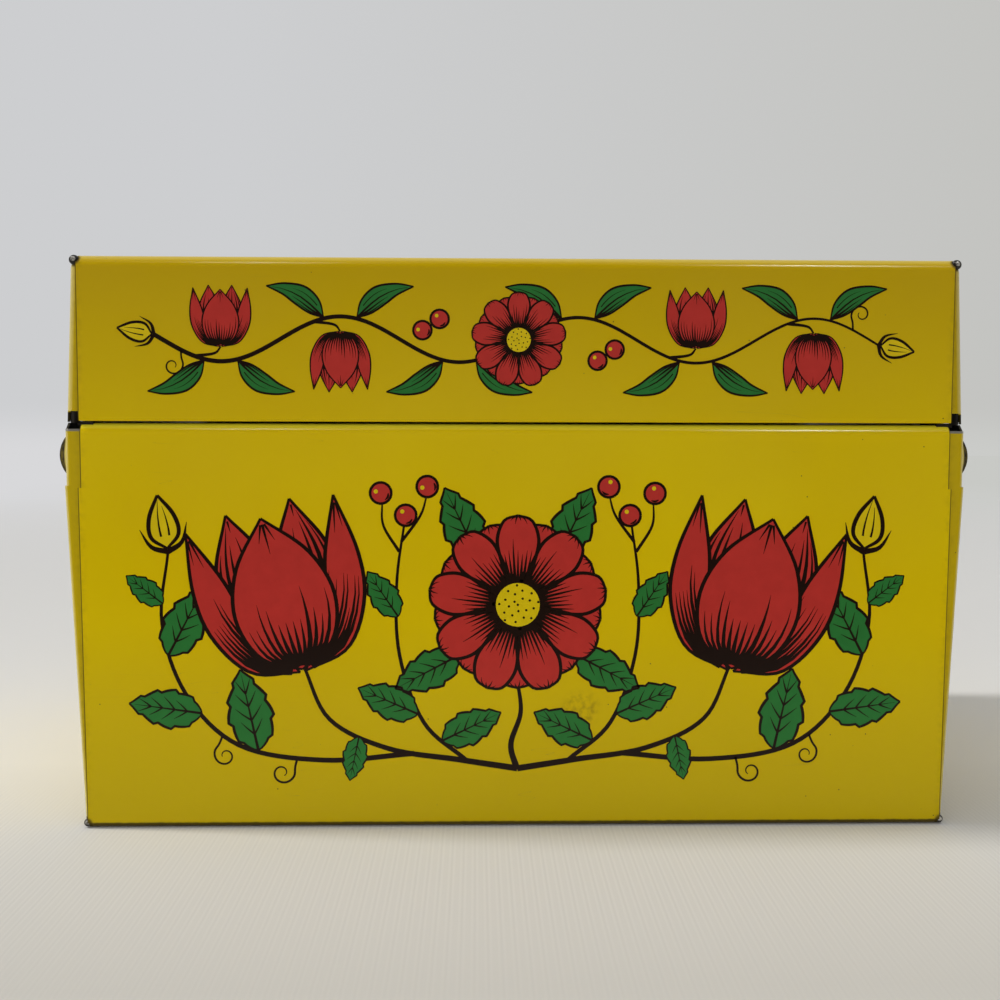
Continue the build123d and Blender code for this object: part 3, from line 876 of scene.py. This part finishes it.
def inkMeshes(name, drawing):  # the flat fills as faces and the brush lines as edges with a width
    fills, lines = bpy.data.meshes.new(name + "Fills"), bpy.data.meshes.new(name + "Lines")
    corners, faces, colours = [], [], []
    for outline, level, ink in drawing["fills"]:
        faces.append(range(len(corners), len(corners) + len(outline)))
        corners += [(p.x, p.y, level) for p in outline]
        colours += [inkOrder.index(ink)] * len(outline)
    fills.from_pydata(corners, [], faces)
    fills.attributes.new("ink", "INT", "POINT").data.foreach_set("value", colours)
    corners, edges, colours, widths = [], [], [], []
    for path, halves, level, ink in drawing["lines"]:
        start = len(corners)
        edges += [(start + i, start + i + 1) for i in range(len(path) - 1)]
        corners += [(p.x, p.y, level) for p in path]
        colours += [inkOrder.index(ink)] * len(path)
        widths += halves
    lines.from_pydata(corners, edges, [])
    lines.attributes.new("ink", "INT", "POINT").data.foreach_set("value", colours)
    lines.attributes.new("halfWidth", "FLOAT", "POINT").data.foreach_set("value", widths)
    return plainObject(name + "Fills", fills), plainObject(name + "Lines", lines)


def stampPrint(name, motifs):  # motifs: (drawing, places), a place is x, y, degrees, size and lift
    found = []
    for i, (drawing, places) in enumerate(motifs):
        sources = inkMeshes(f"{name}{i}", drawing)
        mesh = bpy.data.meshes.new(f"{name}{i}")
        mesh.from_pydata([(x, y, lift) for x, y, turn, size, lift in places], [], [])
        mesh.attributes.new("turn", "FLOAT", "POINT").data.foreach_set("value", [radians(p[2]) for p in places])
        mesh.attributes.new("size", "FLOAT", "POINT").data.foreach_set("value", [p[3] for p in places])
        stamp = plainObject(f"{name}{i}", mesh)
        shape = stamped(stamp, *inkStamp, {
            "Fills": sources[0], "Lines": sources[1], "Sink": printing["sink"],
            "Level height": printing["levelHeight"], "Wall": -printing["wall"] * mm})
        for thing in (stamp, *sources):
            bpy.data.objects.remove(thing)
        found.append(plainObject(name if i == 0 else f"{name}Part{i}", shape))
    with bpy.context.temp_override(active_object=found[0], selected_editable_objects=found):
        bpy.ops.object.join()
    found[0].data.shade_flat()
    return found[0]


def ring(x, y, count, size, lift, start=0):
    return [(x, y, start + 360 * i / count, size, lift) for i in range(count)]


def bothSides(places):  # the same places again, mirrored about the middle
    return places + [(-x, y, -turn, size, lift) for x, y, turn, size, lift in places]


def mirroredRoutes(routes):
    return routes + [(mirrored(points), width) for points, width in routes]


inkStamp = inkTree([lithoInk(name, code) for name, code in inks.items()])

baseRoutes = [([(0, 9.0), (-1.0, 13), (0.5, 18), (0, 23)], 1.0)] + mirroredRoutes([
    ([(0, 9.2), (-9, 10.6), (-20, 12.4), (-29, 17), (-33, 25.5)], 1.0),
    ([(-16, 11.6), (-30, 10.6), (-43, 13), (-51, 21), (-54.5, 32), (-53.4, 43)], 0.85),
    ([(-8, 10.6), (-14.5, 16.5), (-18.2, 27), (-18.6, 38), (-17.4, 47.5)], 0.7),
    ([(-18.2, 43), (-20.6, 47), (-20.8, 50.5)], 0.5),
    ([(-17.9, 44.5), (-15, 48.5), (-14, 51.5)], 0.5)])
basePlaces = [
    (stems(baseRoutes), [(0, 0, 0, 1, 0)]),
    (toothedLeaf(), bothSides([
        (-40, 12.2, 12, 0.92, 1), (-48.6, 18, 82, 0.8, 1), (-53.6, 27, -28, 0.85, 1), (-54.3, 35, 52, 0.5, 1),
        (-15.4, 17.8, 66, 0.72, 1), (-11.6, 13.6, -64, 0.72, 1), (-18.4, 33, 34, 0.6, 1), (-6, 42, 26, 0.86, 1),
        (-9, 27, 118, 0.8, 1), (-24.5, 14.2, 168, 0.5, 1)])),
    (bud(), bothSides([(-53.4, 43, 10, 1.25, 1)])),
    (berry(), bothSides([(-17.2, 48.6, 0, 1.05, 1), (-21, 52, 30, 1.05, 1), (-13.9, 53, 60, 1.05, 1)])),
    (curl(), [(-34, 10.9, 172, 0.85, 0), (45.5, 14.4, -150, 0.8, 0)]),
    (curl(-1), [(34, 10.9, -172, 0.85, 0), (-45.5, 14.4, 150, 0.8, 0)]),
    (tulip(), bothSides([(-33, 24.5, 15, 1.14, 3)])),
    (daisyPetal(), ring(0, 34.8, 9, 0.97, 3, 20) + ring(0, 34.8, 9, 1.03, 5)),
    (daisyHeart(), [(0, 34.8, 0, 1.02, 7)]),
]

lidWave = {"middle": 75.3, "height": 3.4, "length": 36.0, "reach": 55}          # the vine along the lid, in mm


def vine(x):
    return lidWave["middle"] + lidWave["height"] * sin(2 * pi * x / lidWave["length"])


bends = [(lidWave["length"] * (k / 2 + 0.25), 1 if k % 2 == 0 else -1) for k in range(-3, 3)]
lidRoutes = [([(x, vine(x)) for x in range(-lidWave["reach"], lidWave["reach"] + 1, 2)], 0.7)]
leavesLeft, leavesRight, flowers, berries = [], [], [], []
for x, side in bends:
    edge = vine(x)
    leavesLeft.append((x - 2.5 * side, edge - 0.2 * side, 48 if side > 0 else -132, 0.62, 1))
    leavesRight.append((x + 2.5 * side, edge - 0.2 * side, -48 if side > 0 else 132, 0.62, 1))
    if abs(x) > 12:
        foot = edge - side * 2.2
        lidRoutes.append(([(x - 4, vine(x - 4)), (x - 1, edge - side * 1.2), (x, foot)], 0.5))
        flowers.append((x, foot, 180 if side > 0 else 0, 0.40, 3))
    else:
        berries += [(x + 3 * side, edge - side * 6.5, 0, 0.9, 1), (x + 5.6 * side, edge - side * 4.8, 40, 0.9, 1)]
lidPlaces = [
    (stems(lidRoutes), [(0, 0, 0, 1, 0)]),
    (bladeLeaf(-1), leavesLeft),
    (bladeLeaf(1), leavesRight),
    (berry(), berries),
    (bud(), [(55, vine(55), -100, 0.8, 1), (-55, vine(-55), 80, 0.8, 1)]),
    (curl(), [(51, vine(51), 10, 0.7, 0)]),
    (curl(), [(-51, vine(-51), 190, 0.7, 0)]),
    (tulip(), flowers),
    (daisyPetal(), ring(0, lidWave["middle"], 9, 0.5, 3, 20) + ring(0, lidWave["middle"], 9, 0.54, 5)),
    (daisyHeart(), [(0, lidWave["middle"], 0, 0.55, 7)]),
]
for body, places in (("base", basePlaces), ("lid", lidPlaces)):
    piece = stampPrint(body + "Print", places)
    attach(piece, body)
    print(piece.name, "printed with", len(piece.data.polygons), "faces")
